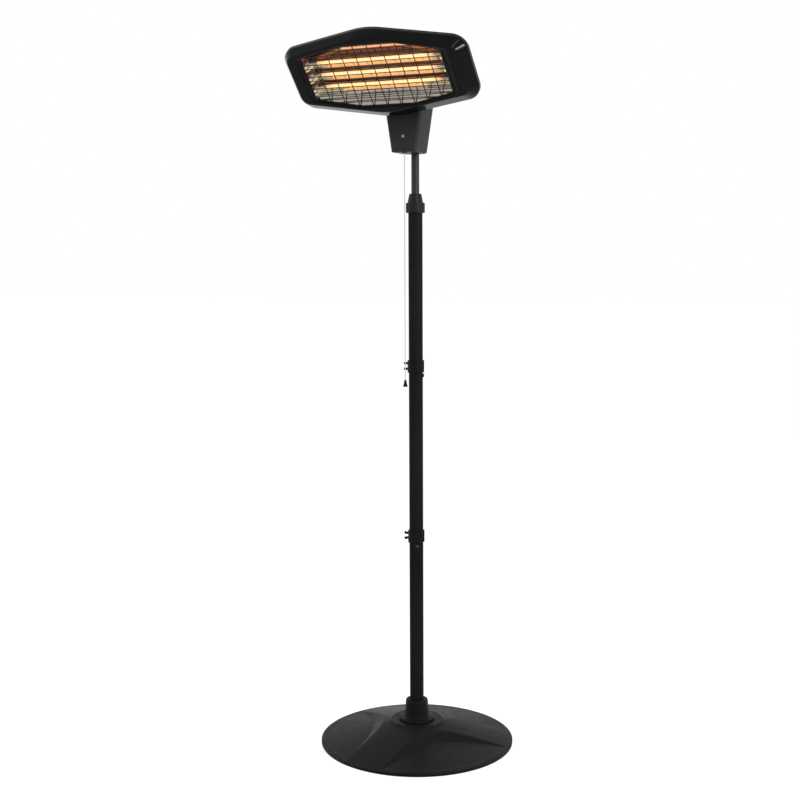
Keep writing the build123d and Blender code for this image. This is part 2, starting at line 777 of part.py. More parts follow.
def make_socket_bolt():
    length = 2 * socket_radius + socket_bolt_head_height
    bolt = pan_screw(socket_bolt_radius, length, socket_bolt_head_radius, socket_bolt_head_height)
    return Pos(socket_radius, 0, neck_floor + socket_bolt_height) * along_x(bolt)


def make_socket_nut():
    nut = hexagon_bar(2 * socket_bolt_head_radius, socket_bolt_head_height)
    nut -= post(socket_bolt_radius, socket_bolt_head_height)
    place = Pos(-socket_radius - socket_bolt_head_height, 0, neck_floor + socket_bolt_height)
    return place * along_x(nut)


def make_terminal_block():
    block = Box(terminal_width, terminal_depth, terminal_height, align=on_floor)
    pole_pitch = terminal_width / terminal_poles
    for pole in range(terminal_poles):
        x = (pole - (terminal_poles - 1) / 2) * pole_pitch
        wire_hole = along_y(Pos(0, 0, -terminal_depth) * post(terminal_hole_radius, 2 * terminal_depth))
        block -= Pos(x, 0, terminal_height / 2) * wire_hole
        if pole:
            divider = Box(terminal_slot, terminal_depth, terminal_height / 4, align=on_floor)
            block -= Pos(x - pole_pitch / 2, 0, terminal_height * 3 / 4) * divider
    return Pos(0, terminal_y, socket_top) * block


def make_cable_gland():
    """Points out of the neck's back; its bore takes the mains cable."""
    body = hexagon_bar(gland_width, gland_hexagon_height)
    body += Pos(0, 0, gland_hexagon_height) * Cone(
        gland_width / 2 - 1, gland_cone_radius, gland_cone_length, align=on_floor)
    thread_length = neck_wall + gland_nut_height
    body += Pos(0, 0, -thread_length) * post(gland_thread_radius, thread_length)
    body -= Pos(0, 0, -thread_length) * post(gland_cable_radius, thread_length + gland_hexagon_height
                                             + gland_cone_length)
    return Pos(0, neck_rear, gland_height) * along_y(body)


def make_gland_nut():
    nut = hexagon_bar(gland_width, gland_nut_height) - post(gland_thread_radius, gland_nut_height)
    return Pos(0, neck_rear - neck_wall - gland_nut_height, gland_height) * along_y(nut)


# ---------------------------------------------------------------- pull switch and cord
def make_pull_switch():
    box = Box(switch_width, switch_depth, switch_height, align=on_floor)
    chamber = Pos(0, 0, switch_wall) * post(stem_head_radius + running_gap, switch_height - 2 * switch_wall)
    hole = post(stem_radius + running_gap, switch_wall)
    return Pos(0, cord_line, switch_bottom) * (box - chamber - hole)


def make_switch_plunger():
    stem = Pos(0, cord_line, stem_bottom) * post(stem_radius, stem_head_bottom - stem_bottom)
    head = Pos(0, cord_line, stem_head_bottom) * post(stem_head_radius, stem_head_height)
    return stem + head


def make_cord_bush():
    bush = post(cord_bush_radius, cord_bush_length)
    bush += Pos(0, 0, -cord_bush_flange) * post(cord_bush_flange_radius, cord_bush_flange)
    bush -= Pos(0, 0, -cord_bush_flange) * post(cord_bush_bore, cord_bush_length + cord_bush_flange)
    return Pos(0, cord_line, neck_bottom) * bush


def make_pull_cord():
    return Pos(0, cord_line, cord_bottom) * post(cord_radius, cord_length)


def make_pull_bell():
    profile = [(0, 0), (bell_bottom_radius, 0), (bell_bottom_radius, bell_lip),
               (bell_waist_radius, bell_waist_height), (bell_top_radius, bell_height), (0, bell_height)]
    return Pos(0, cord_line, cord_bottom - bell_height) * turned(profile)


# ---------------------------------------------------------------- tilt hinge
def at_hinge(part):
    """Puts a part that lies along X at the tilt hinge."""
    return Pos(0, hinge_y, hinge_z) * part


def make_tilt_bolt():
    head_seat = lug_outer + hinge_washer_height
    length = 2 * head_seat + hinge_nut_height + hinge_bolt_overhang
    bolt = hexagon_bar(hinge_bolt_head_width, hinge_bolt_head_height)
    bolt += Pos(0, 0, -length) * post(hinge_bolt_radius, length)
    return at_hinge(Pos(head_seat, 0, 0) * along_x(bolt))


def make_tilt_nut():
    nut = hexagon_bar(hinge_bolt_head_width, hinge_nut_height) - post(hinge_bolt_radius, hinge_nut_height)
    place = -lug_outer - hinge_washer_height - hinge_nut_height
    return at_hinge(Pos(place, 0, 0) * along_x(nut))


def make_tilt_washers():
    washer = ring(hinge_washer_radius, hinge_bolt_radius + slip_gap, hinge_washer_height)
    return group([at_hinge(Pos(lug_outer, 0, 0) * along_x(washer)),
                  at_hinge(Pos(-lug_outer - hinge_washer_height, 0, 0) * along_x(washer))])


def make_friction_discs():
    disc = ring(friction_disc_radius, hinge_bolt_radius + running_gap, friction_disc)
    return group([at_hinge(Pos(knuckle_half_width, 0, 0) * along_x(disc)),
                  at_hinge(Pos(-knuckle_half_width - friction_disc, 0, 0) * along_x(disc))])


def make_tilt_bracket():
    """A plate on the housing's back with two lugs that reach down to the hinge."""
    plate = Pos(0, bracket_plate_v, -housing_back - bracket_plate_sheet) * Box(
        2 * bracket_plate_half_width, bracket_plate_height, bracket_plate_sheet, align=on_floor)
    for u, v in four_corners(bracket_screw_u, bracket_screw_v):
        plate -= Pos(u, bracket_plate_v + v, -housing_back - bracket_plate_sheet) * post(
            bracket_screw_radius + slip_gap, bracket_plate_sheet)
    root = -housing_back - bracket_plate_sheet / 2
    top = bracket_plate_v + bracket_plate_height / 2
    bottom = bracket_plate_v - bracket_plate_height / 2
    eye_place = Pos(-hinge_below_middle, -hinge_behind_face)
    eye = eye_place * Circle(lug_radius)
    foot = make_face(Polyline((bottom, root), (top, root), (top, root - bracket_plate_sheet),
                              (bottom, root - bracket_plate_sheet), close=True))
    lug_face = make_hull(eye.edges() + foot.edges()) - eye_place * Circle(hinge_bolt_radius + slip_gap)
    lug = extrude(Plane.YZ * lug_face, lug_thickness)
    return in_head(plate + Pos(lug_inner, 0, 0) * lug + Pos(-lug_outer, 0, 0) * lug)


def make_bracket_screws():
    bolt = Rot(180, 0, 0) * pan_screw(bracket_screw_radius, bracket_screw_length, bracket_screw_head_radius,
                                      bracket_screw_head_height)
    seat = -housing_back - bracket_plate_sheet
    places = four_corners(bracket_screw_u, bracket_screw_v)
    return group([in_head(Pos(u, bracket_plate_v + v, seat) * bolt) for u, v in places])


# ---------------------------------------------------------------- lamp head
def housing_screw_places():
    """Where the screws that hold the bezel and the housing together stand in the head."""
    return [(u, v - head_drop) for u, v in four_corners(housing_screw_u, housing_screw_v)]


def bezel_form(wall):
    """The bezel as a solid, drawn in by a wall: a face round the window, a flank and a straight rim."""
    spread = flank_inset / flank_depth
    flank_wall = wall * sqrt(1 + spread ** 2)
    knee = flank_depth + (flank_wall - wall) / spread
    front_inset = flank_inset + flank_wall - spread * wall
    front = Pos(0, 0, -wall) * head_outline(front_inset, drop=head_drop * wall / flank_depth)
    rim = Pos(0, 0, -bezel_depth) * extrude(head_outline(wall), bezel_depth - knee)
    return rim + loft([Pos(0, 0, -knee) * head_outline(wall), front], ruled=True)


def level_edges(body, height):
    """The edges of a body that lie at a height."""
    return [edge for edge in body.edges() if all(abs(end.Z - height) < 0.01 for end in edge.vertices())]


def make_front_bezel():
    body = bezel_form(0)
    body = fillet(level_edges(body, -flank_depth), rim_edge_radius)
    body = fillet(level_edges(body, 0), face_edge_radius)
    body -= bezel_form(bezel_wall)
    corner = window_corner_radius
    band = rounded_window(step_end_width + bezel_lip_sheet, step_side_width + bezel_lip_sheet,
                          corner + bezel_lip_sheet)
    body += Pos(0, 0, -lip_back) * extrude(band, lip_back - bezel_step / 2)
    recess = rounded_window(step_end_width, step_side_width, corner)
    body -= Pos(0, 0, -bezel_step) * extrude(recess, bezel_step * 2)
    body -= Pos(0, 0, -bezel_depth) * extrude(rounded_window(0, 0, corner), bezel_depth)
    pillar_length = housing_pillar_split - bezel_wall
    pilot_length = housing_pillar_split - (housing_screw_depth - housing_screw_length) + 1
    for u, v in housing_screw_places():
        body += Pos(u, v, -housing_pillar_split) * post(housing_pillar_radius, pillar_length)
        body -= Pos(u, v, -housing_pillar_split) * post(housing_screw_radius, pilot_length)
    boss_length = reflector_top - bezel_step
    for u, v in four_corners(reflector_screw_u, reflector_screw_v):
        body += Pos(u, v, -reflector_top) * post(reflector_boss_radius, boss_length - bezel_lip_sheet / 2)
        body -= Pos(u, v, -reflector_top) * post(reflector_screw_radius, boss_length - bezel_lip_sheet)
    return in_head(body)


def housing_form(wall):
    """The rear housing as a solid: straight sides, then a tapered back; drawn in by a wall."""
    slope = housing_inset / housing_taper
    taper_wall = wall * sqrt(1 + slope ** 2)
    knee = housing_knee - (taper_wall - wall) / slope
    back = housing_back - wall
    back_inset = slope * (back - housing_knee) + taper_wall
    front = bezel_depth + seat_gap
    sides = Pos(0, 0, -knee) * extrude(head_outline(wall), knee - front)
    narrow = Pos(0, 0, -back) * head_outline(back_inset, housing_back_corner - wall)
    return sides + loft([Pos(0, 0, -knee) * head_outline(wall), narrow], ruled=True)


def make_rear_housing():
    outside = housing_form(0)
    body = outside - housing_form(housing_wall)
    floor = housing_pillar_split + seat_gap
    for u, v in housing_screw_places():
        pillar = Pos(u, v, -housing_back) * post(housing_pillar_radius, housing_back - floor)
        body += pillar & outside
        body -= Pos(u, v, -housing_back) * post(housing_screw_head_radius + seat_gap,
                                               housing_back - housing_screw_depth)
        body -= Pos(u, v, -housing_back) * post(housing_screw_radius + slip_gap, housing_back)
    vent_length = housing_taper - 2 * vent_margin
    vent = Pos(0, -head_drop, -housing_knee - housing_taper / 2) * Box(
        vent_width, 2 * head_half_height, vent_length)
    for step in range(vents_per_side):
        u = vent_first + step * vent_pitch
        body -= Pos(u, 0, 0) * vent
        body -= Pos(-u, 0, 0) * vent
    for u, v in four_corners(bracket_screw_u, bracket_screw_v):
        body -= Pos(u, bracket_plate_v + v, -housing_back) * post(bracket_screw_radius, housing_wall)
    return in_head(body)


def make_housing_screws():
    bolt = Rot(180, 0, 0) * pan_screw(housing_screw_radius, housing_screw_length, housing_screw_head_radius,
                                      housing_screw_head_height)
    return group([in_head(Pos(u, v, -housing_screw_depth) * bolt) for u, v in housing_screw_places()])


# ---------------------------------------------------------------- guard
def make_guard_frame():
    """The guard's border: one round wire bent to the window's shape."""
    path = rounded_window(frame_offset, frame_offset, frame_corner_radius).face().outer_wire()
    start = path.position_at(0)
    section = Plane(origin=start, z_dir=path.tangent_at(0)) * Circle(frame_wire_radius)
    return in_head(Pos(0, 0, -frame_depth) * sweep(section, path))


def make_guard_uprights():
    slope = radians(window_slope)
    wires = []
    for index in range(wire_count):
        u = (index - (wire_count - 1) / 2) * wire_pitch
        half = window_edge(u, frame_offset) - frame_wire_radius / cos(slope) - wire_radius * tan(slope)
        wire = Pos(0, 0, -half) * post(wire_radius, 2 * half)
        wires.append(in_head(Pos(u, 0, -upright_depth) * along_y(wire)))
    return group(wires)


def make_guard_cross_wires():
    end = window_half_width + frame_offset
    wires = []
    for index in range(cross_count):
        v = (index - (cross_count - 1) / 2) * cross_pitch
        to_slope = window_flat + (window_edge(0, frame_offset) - abs(v)) / tan(radians(window_slope))
        half = min(end, to_slope) + cross_overhang
        wire = Pos(0, 0, -half) * post(cross_radius, 2 * half)
        wires.append(in_head(Pos(0, v, -cross_depth) * along_x(wire)))
    return group(wires)


# ---------------------------------------------------------------- reflector
def reflector_level(depth, sheet):
    """Outline of the reflector's tray at a depth, grown by the sheet's thickness."""
    height = trough_bottom - reflector_top
    share = (depth - reflector_top) / height
    side_grow = sheet * sqrt(1 + (reflector_side_draw / height) ** 2)
    end_grow = sheet * sqrt(1 + (reflector_end_draw / height) ** 2)
    side = reflector_opening - share * reflector_side_draw + side_grow
    end = reflector_opening - share * reflector_end_draw + end_grow
    return Pos(0, 0, -depth) * window_outline(end, side)


def trough_ridges(sheet):
    """The bar under the troughs: cylinders scooped out of it leave a ridge between the lamps."""
    half = lamp_count / 2 * trough_pitch + ridge_land - sheet
    depth = 2 * trough_bottom
    bar = Pos(0, -ridge_depth - sheet) * Rectangle(2 * half, depth, align=(Align.CENTER, Align.MAX))
    for row in lamp_rows:
        bar -= Pos(row, trough_radius - trough_bottom) * Circle(trough_radius + sheet)
    length = 2 * head_half_width
    return Pos(-length / 2, 0, 0) * extrude(Plane.YZ * bar, length)


def tray(sheet):
    """The space inside the reflector, grown by the sheet's thickness."""
    bottom = trough_bottom + sheet
    block = loft([reflector_level(reflector_top, sheet), reflector_level(bottom, sheet)], ruled=True)
    return block - trough_ridges(sheet)


def make_reflector():
    flange_outline = window_outline(reflector_opening + reflector_end_flange,
                                    reflector_opening + reflector_side_flange)
    flange = Pos(0, 0, -tab_top) * extrude(flange_outline, reflector_sheet)
    body = flange + tray(reflector_sheet) - tray(0)
    for row in lamp_rows:
        hole = post(cap_radius + seat_gap, 2 * cap_length)
        body -= Pos(cap_start - cap_length, row, -lamp_depth) * along_x(hole)
        body -= Pos(-cap_start - cap_length, row, -lamp_depth) * along_x(hole)
    for u, v in four_corners(reflector_screw_u, reflector_screw_v):
        body -= Pos(u, v, -tab_top) * post(reflector_screw_radius + slip_gap, reflector_sheet)
    return in_head(body)


def make_lamp_bracket(side):
    """Sheet-metal bracket that carries one end of the lamps; side is 1 or -1."""
    depth = shield_depth - seat_gap - tab_top
    sheet = Pos(bracket_at, 0, -tab_top) * Box(bracket_sheet, 2 * bracket_half_height, depth,
                                               align=(Align.MIN, Align.CENTER, Align.MAX))
    sheet += Pos(bracket_at, 0, -tab_top) * Box(bracket_tab, 2 * bracket_half_height, bracket_sheet,
                                                align=(Align.MIN, Align.CENTER, Align.MAX))
    for row in lamp_rows:
        sheet -= Pos(bracket_at, row, -lamp_depth) * along_x(post(cap_radius + slip_gap, bracket_sheet))
    for v in (-reflector_screw_v, reflector_screw_v):
        hole = post(reflector_screw_radius + slip_gap, bracket_sheet)
        sheet -= Pos(reflector_screw_u, v, -tab_bottom) * hole
    turn = 0 if side > 0 else 180
    return in_head(Rot(0, 0, turn) * sheet)


def make_reflector_screws():
    bolt = Rot(180, 0, 0) * pan_screw(reflector_screw_radius, reflector_screw_length,
                                      reflector_screw_head_radius, reflector_screw_head_height)
    places = four_corners(reflector_screw_u, reflector_screw_v)
    return group([in_head(Pos(u, v, -tab_bottom) * bolt) for u, v in places])


def make_heat_shield():
    outline = head_outline(shield_inset, corner=shield_corner_radius, drop=0)
    return in_head(Pos(0, 0, -shield_depth - shield_sheet) * extrude(outline, shield_sheet))


# ---------------------------------------------------------------- lamps
def make_lamp(row):
    tube = Pos(0, 0, -lamp_half_length) * ring(lamp_radius, lamp_radius - lamp_wall, 2 * lamp_half_length)
    return in_head(Pos(0, row, -lamp_depth) * along_x(tube))


def make_heating_coils():
    pin_end = cap_start + cap_socket - seat_gap
    pins = Pos(0, 0, -pin_end) * post(coil_pin_radius, 2 * pin_end)
    coil = Pos(0, 0, -coil_half_length) * post(coil_radius, 2 * coil_half_length)
    return group([in_head(Pos(0, row, -lamp_depth) * along_x(pins + coil)) for row in lamp_rows])


def make_lamp_caps():
    cap = post(cap_radius, cap_length) - post(lamp_radius + slip_gap, cap_socket)
    caps = []
    for row in lamp_rows:
        place = Pos(0, row, -lamp_depth)
        caps.append(in_head(place * Pos(cap_start, 0, 0) * along_x(cap)))
        caps.append(in_head(place * Rot(0, 0, 180) * Pos(cap_start, 0, 0) * along_x(cap)))
    return group(caps)


# ---------------------------------------------------------------- all the nodes
nodes = {
    "base_cover": make_base_cover(),
    "ballast": make_ballast(),
    "base_plate": make_base_plate(),
    "rubber_feet": make_rubber_feet(),
    "centre_foot": make_centre_foot(),
    "base_bolt": make_base_bolt(),
    "base_washer": make_base_washer(),
    "tube_foot_plug": make_tube_foot_plug(),
    "base_collar": make_base_collar(),
    "lower_tube": make_lower_tube(),
    "middle_tube": make_middle_tube(),
    "upper_tube": make_upper_tube(),
    "joint_screws": make_joint_screws(),
    "cable_clip_lower": make_cable_clip(lower_seam),
    "cable_clip_upper": make_cable_clip(upper_seam),
    "lock_sleeve": make_lock_sleeve(),
    "lock_collet": make_lock_collet(),
    "twist_collar": make_twist_collar(),
    "inner_rod": make_inner_rod(),
    "guide_bush": make_guide_bush(),
    "rod_end_cap": make_rod_end_cap(),
    "retaining_ring": make_retaining_ring(),
    "neck_front_shell": make_neck_front_shell(),
    "neck_rear_shell": make_neck_rear_shell(),
    "neck_screws": make_neck_screws(),
    "rod_socket": make_rod_socket(),
    "socket_bolt": make_socket_bolt(),
    "socket_nut": make_socket_nut(),
    "terminal_block": make_terminal_block(),
    "cable_gland": make_cable_gland(),
    "gland_nut": make_gland_nut(),
    "pull_switch": make_pull_switch(),
    "switch_plunger": make_switch_plunger(),
    "cord_bush": make_cord_bush(),
    "pull_cord": make_pull_cord(),
    "pull_bell": make_pull_bell(),
    "tilt_bolt": make_tilt_bolt(),
    "tilt_nut": make_tilt_nut(),
    "tilt_washers": make_tilt_washers(),
    "friction_discs": make_friction_discs(),
    "tilt_bracket": make_tilt_bracket(),
    "bracket_screws": make_bracket_screws(),
    "front_bezel": make_front_bezel(),
    "rear_housing": make_rear_housing(),
    "housing_screws": make_housing_screws(),
    "guard_frame": make_guard_frame(),
    "guard_uprights": make_guard_uprights(),
    "guard_cross_wires": make_guard_cross_wires(),
    "reflector": make_reflector(),
    "reflector_screws": make_reflector_screws(),
    "lamp_bracket_left": make_lamp_bracket(-1),
    "lamp_bracket_right": make_lamp_bracket(1),
    "heat_shield": make_heat_shield(),
    "lamp_bottom": make_lamp(lamp_rows[0]),
    "lamp_middle": make_lamp(lamp_rows[1]),
    "lamp_top": make_lamp(lamp_rows[2]),
    "heating_coils": make_heating_coils(),
    "lamp_caps": make_lamp_caps(),
}

os.makedirs("parts", exist_ok=True)
for name, solid in nodes.items():
    export_step(solid, "parts/" + name + ".step")
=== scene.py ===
import math

import bmesh
import bpy
from mathutils import Matrix, Vector


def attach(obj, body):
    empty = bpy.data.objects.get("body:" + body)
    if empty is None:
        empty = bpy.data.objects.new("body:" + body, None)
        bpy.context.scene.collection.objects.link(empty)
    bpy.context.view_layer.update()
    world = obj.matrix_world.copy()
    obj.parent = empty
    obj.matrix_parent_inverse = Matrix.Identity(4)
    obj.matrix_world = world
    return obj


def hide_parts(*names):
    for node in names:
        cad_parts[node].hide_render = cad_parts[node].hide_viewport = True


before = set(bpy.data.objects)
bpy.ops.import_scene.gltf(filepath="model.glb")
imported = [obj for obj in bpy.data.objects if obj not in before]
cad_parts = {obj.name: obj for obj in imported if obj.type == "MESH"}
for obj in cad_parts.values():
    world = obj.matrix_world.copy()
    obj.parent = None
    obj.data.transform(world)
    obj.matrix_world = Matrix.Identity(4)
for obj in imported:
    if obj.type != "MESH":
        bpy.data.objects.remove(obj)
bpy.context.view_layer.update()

# Infrared patio heater tower, in metres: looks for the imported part.

# ---------------------------------------------------------------- camera
camera_place = Vector((1.3575, -3.0081, 1.270))
camera_azimuth = math.radians(25.04)    # round the mast, from -Y towards +X
camera_drop = math.radians(6.37)        # how far it looks down
camera_roll = math.radians(0.26)
camera_lens = 58.66                     # millimetres, as is the sensor's width
camera_sensor = 36.0

# ---------------------------------------------------------------- lamp head
head_tilt = math.radians(43.18)         # how far the lamps face down at rest
head_up = Vector((0, -math.sin(head_tilt), math.cos(head_tilt)))
head_out = Vector((0, -math.cos(head_tilt), -math.sin(head_tilt)))
face_centre = Vector((0.0, -0.22471, 1.68082))
lamp_rows = (-1, 0, 1)
lamp_pitch = 0.0335
lamp_depth = 0.022

# the winding in each lamp, and the straight leads from its ends to the caps
coil_half_length = 0.150
coil_radius = 0.0027
coil_turn = 0.0024                      # from one turn to the next
coil_wire = 0.0005                      # radius
coil_steps = 14                         # points in a turn
lead_length = 0.0275
lead_radius = 0.0008
lead_steps = 4

# the reflector: a tray of sheet metal with a trough behind each lamp
opening_half_width = 0.182
opening_half_height = 0.0885
opening_flat = 0.0705                   # half length of the opening's straight middle
opening_slope = math.radians(12.8)
end_flange = 0.012
side_flange = 0.003
flange_depth = 0.0104
ridge_depth = 0.024
trough_radius = 0.0201
trough_half = len(lamp_rows) / 2 * lamp_pitch   # half height of all the troughs together
side_slope = math.radians(27.2)         # how steeply the long sides rise from the face
end_slope = math.radians(39.9)
reflector_sheet = 0.0008
crease_angle = math.radians(22)         # sharper edges than this aren't smoothed

# its mesh: columns across, closer together towards the ends, and steps up each column
column_step = 0.004
end_column_step = 0.002
end_columns_from = 0.144
trough_steps = 84                       # over all the troughs
side_steps = 16                         # up each long side

# its painted reflection, shade and light: heights up the face between which one zone gives way to the
# next
lower_side_to_troughs = (-0.054, -0.050)
troughs_to_upper_foot = (0.046, 0.049)
upper_foot_to_upper_side = (0.064, 0.068)
clean_to_painted_dark_reflection = (0.40, 0.56)           # shares of a trough's height, from its lower ridge, over which clean metal gives way to painted dark reflection
lowest_ridge = 2.5                      # pitches from the face's middle down to a ridge line

# ---------------------------------------------------------------- pull cord
cord_radius = 0.0012
cord_y = -0.064
cord_top = 1.5323
cord_bottom = 0.956
cord_between = (1.40, 1.25, 1.10)       # heights of the points between its ends

# ---------------------------------------------------------------- light
room_light = 0.60                       # the world's strength for all that lights the object
floor_grey = 0.55
floor_glow = 0.68                       # lifts the lit floor to white where it is seen
mast_middle = (0, 0, 0.9)
head_right_end = (0.2, -0.25, 1.70)


def head_place(x, v, n):
    """A point of the lamp head: x across, v up the face, n out of the face."""
    return face_centre + Vector((x, 0, 0)) + head_up * v + head_out * n


def add_object(name, data):
    """Puts a mesh, curve, camera or light into the scene."""
    added = bpy.data.objects.new(name, data)
    bpy.context.scene.collection.objects.link(added)
    return added


# ---------------------------------------------------------------- material helpers
noise_core = (0.35, 0.65)               # where a noise spends most of its values
noise_span = (0.3, 0.7)                 # which values it seldom leaves


def new_material(name):
    """A material of one principled shader, with its node tree and that shader."""
    material = bpy.data.materials.new(name)
    material.use_nodes = True
    tree = material.node_tree
    tree.nodes.clear()
    output = tree.nodes.new("ShaderNodeOutputMaterial")
    shader = tree.nodes.new("ShaderNodeBsdfPrincipled")
    tree.links.new(shader.outputs["BSDF"], output.inputs["Surface"])
    return material, tree, shader


def place_in_object(tree, scale=(1, 1, 1)):
    """Object coordinates, stretched along its axes."""
    where = tree.nodes.new("ShaderNodeTexCoord")
    stretch = tree.nodes.new("ShaderNodeMapping")
    stretch.inputs["Scale"].default_value = scale
    tree.links.new(where.outputs["Object"], stretch.inputs["Vector"])
    return stretch.outputs["Vector"]


def noise(tree, place, scale, detail=2.0, rough=0.5):
    """A noise between 0 and 1 with its scale in cells per metre."""
    texture = tree.nodes.new("ShaderNodeTexNoise")
    texture.inputs["Scale"].default_value = scale
    texture.inputs["Detail"].default_value = detail
    texture.inputs["Roughness"].default_value = rough
    tree.links.new(place, texture.inputs["Vector"])
    return texture.outputs["Fac"]


def map_range(tree, value, source, target=(0, 1)):
    """Maps one range of values to another, which the result doesn't leave."""
    mapper = tree.nodes.new("ShaderNodeMapRange")
    for end, limit in zip(("From Min", "From Max", "To Min", "To Max"), (*source, *target)):
        mapper.inputs[end].default_value = limit
    tree.links.new(value, mapper.inputs["Value"])
    return mapper.outputs["Result"]


def calculate(tree, operation, *values):
    """One step of arithmetic on numbers and on what other nodes make."""
    step = tree.nodes.new("ShaderNodeMath")
    step.operation = operation
    for socket, value in zip(step.inputs, values):
        if isinstance(value, bpy.types.NodeSocket):
            tree.links.new(value, socket)
        else:
            socket.default_value = value
    return step.outputs["Value"]


def darker(colour, share):
    """A share of a colour."""
    return tuple(share * part for part in colour)


def mix_colours(tree, factor, first, second):
    """A colour between two, by a factor: each is a constant or what another node makes."""
    mixer = tree.nodes.new("ShaderNodeMix")
    mixer.data_type = "RGBA"
    tree.links.new(factor, mixer.inputs["Factor"])
    for name, colour in (("A", first), ("B", second)):
        if isinstance(colour, tuple):
            mixer.inputs[name].default_value = (*colour, 1)
        else:
            tree.links.new(colour, mixer.inputs[name])
    return mixer.outputs["Result"]


def bump(tree, shader, height, distance, edge=0.0):
    """Raises the surface by a height texture, and rounds its edges within a radius."""
    bumper = tree.nodes.new("ShaderNodeBump")
    bumper.inputs["Distance"].default_value = distance
    tree.links.new(height, bumper.inputs["Height"])
    if edge:
        rounded = tree.nodes.new("ShaderNodeBevel")
        rounded.samples = 8
        rounded.inputs["Radius"].default_value = edge
        tree.links.new(rounded.outputs["Normal"], bumper.inputs["Normal"])
    tree.links.new(bumper.outputs["Normal"], shader.inputs["Normal"])


def surface(name, dark, light, rough, metallic=0.0, grain=900, grain_depth=0.00004, cloud=6.0,
            specular=0.5, edge=0.0):
    """Paint, plastic or metal: a mottled colour, uneven gloss and a fine grain."""
    gloss_per_cloud = 7                 # the gloss varies so much more finely than the colour
    material, tree, shader = new_material(name)
    place = place_in_object(tree)
    mottle = map_range(tree, noise(tree, place, cloud, detail=3.0), noise_core)
    tree.links.new(mix_colours(tree, mottle, dark, light), shader.inputs["Base Color"])
    gloss = noise(tree, place, cloud * gloss_per_cloud, detail=4.0, rough=0.6)
    tree.links.new(map_range(tree, gloss, noise_span, rough), shader.inputs["Roughness"])
    bump(tree, shader, noise(tree, place, grain), grain_depth, edge)
    shader.inputs["Metallic"].default_value = metallic
    shader.inputs["Specular IOR Level"].default_value = specular
    return material


def height_up_face(tree):
    """How far up the lamp head's face a point lies, from the face's middle."""
    along = tree.nodes.new("ShaderNodeVectorMath")
    along.operation = "DOT_PRODUCT"
    along.inputs[1].default_value = head_up
    tree.links.new(place_in_object(tree), along.inputs[0])
    return calculate(tree, "SUBTRACT", along.outputs["Value"], face_centre.dot(head_up))


def metal_with_painted_reflection(name, clean, painted_dark_reflection, painted_shade_lower_side, painted_light_upper_side):
    """Polished sheet, clean below each lamp, with a painted dark reflection above it and at the foot of
    the upper side, painted shade up the lower side and painted light up the upper side.
    """
    material, tree, shader = new_material(name)
    drawn = place_in_object(tree, scale=(0.05, 1, 1))
    height = height_up_face(tree)
    pitches = calculate(tree, "MULTIPLY_ADD", height, 1 / lamp_pitch, lowest_ridge)
    # the upper part of each trough gets a painted dark reflection, mottled at random; the lower part
    # stays clean metal
    painted_reflection_mask = map_range(tree, calculate(tree, "FRACT", pitches), clean_to_painted_dark_reflection)
    mottle = map_range(tree, noise(tree, drawn, scale=90, detail=3.0), noise_core)
    mottled_dark_reflection = mix_colours(tree, mottle, darker(painted_dark_reflection, 0.7), painted_dark_reflection)
    tint = mix_colours(tree, painted_reflection_mask, clean, mottled_dark_reflection)
    # painted shade up the lower side, painted dark reflection at the foot of the upper side, painted
    # light up the upper side
    tint = mix_colours(tree, map_range(tree, height, lower_side_to_troughs), painted_shade_lower_side, tint)
    tint = mix_colours(tree, map_range(tree, height, troughs_to_upper_foot), tint, painted_dark_reflection)
    tint = mix_colours(tree, map_range(tree, height, upper_foot_to_upper_side), tint, painted_light_upper_side)
    tree.links.new(tint, shader.inputs["Base Color"])
    gloss = noise(tree, drawn, scale=260, detail=3.0, rough=0.6)
    tree.links.new(map_range(tree, gloss, noise_span, (0.10, 0.18)), shader.inputs["Roughness"])
    bump(tree, shader, noise(tree, drawn, scale=500), distance=0.00003)
    shader.inputs["Metallic"].default_value = 1.0
    return material


def glowing_metal(name, glow, strength):
    """A glowing winding, a little dimmer and darker in places."""
    metal = (0.2, 0.1, 0.05)
    oxide = (0.1, 0.05, 0.03)
    material, tree, shader = new_material(name)
    uneven = noise(tree, place_in_object(tree), scale=40)
    tree.links.new(mix_colours(tree, uneven, glow, darker(glow, 0.8)), shader.inputs["Emission Color"])
    tree.links.new(mix_colours(tree, uneven, metal, oxide), shader.inputs["Base Color"])
    shader.inputs["Emission Strength"].default_value = strength
    shader.inputs["Roughness"].default_value = 0.6
    return material


def clear_quartz(name, glow, strength):
    """Quartz glass with a faint haze, which glows along the winding."""
    glow_fades = (0.125, 0.152)         # distances from the tube's middle
    material, tree, shader = new_material(name)
    haze = noise(tree, place_in_object(tree, scale=(0.3, 1, 1)), scale=120, detail=3.0)
    tree.links.new(map_range(tree, haze, noise_span, (0.02, 0.10)), shader.inputs["Roughness"])
    shader.inputs["Transmission Weight"].default_value = 1.0
    shader.inputs["IOR"].default_value = 1.46
    shader.inputs["Base Color"].default_value = (0.96, 0.95, 0.93, 1)
    axes = tree.nodes.new("ShaderNodeSeparateXYZ")
    tree.links.new(place_in_object(tree), axes.inputs["Vector"])
    from_middle = calculate(tree, "ABSOLUTE", axes.outputs["X"])
    lit = map_range(tree, from_middle, glow_fades, (1, 0))
    tree.links.new(mix_colours(tree, lit, (0, 0, 0), glow), shader.inputs["Emission Color"])
    shader.inputs["Emission Strength"].default_value = strength
    return material


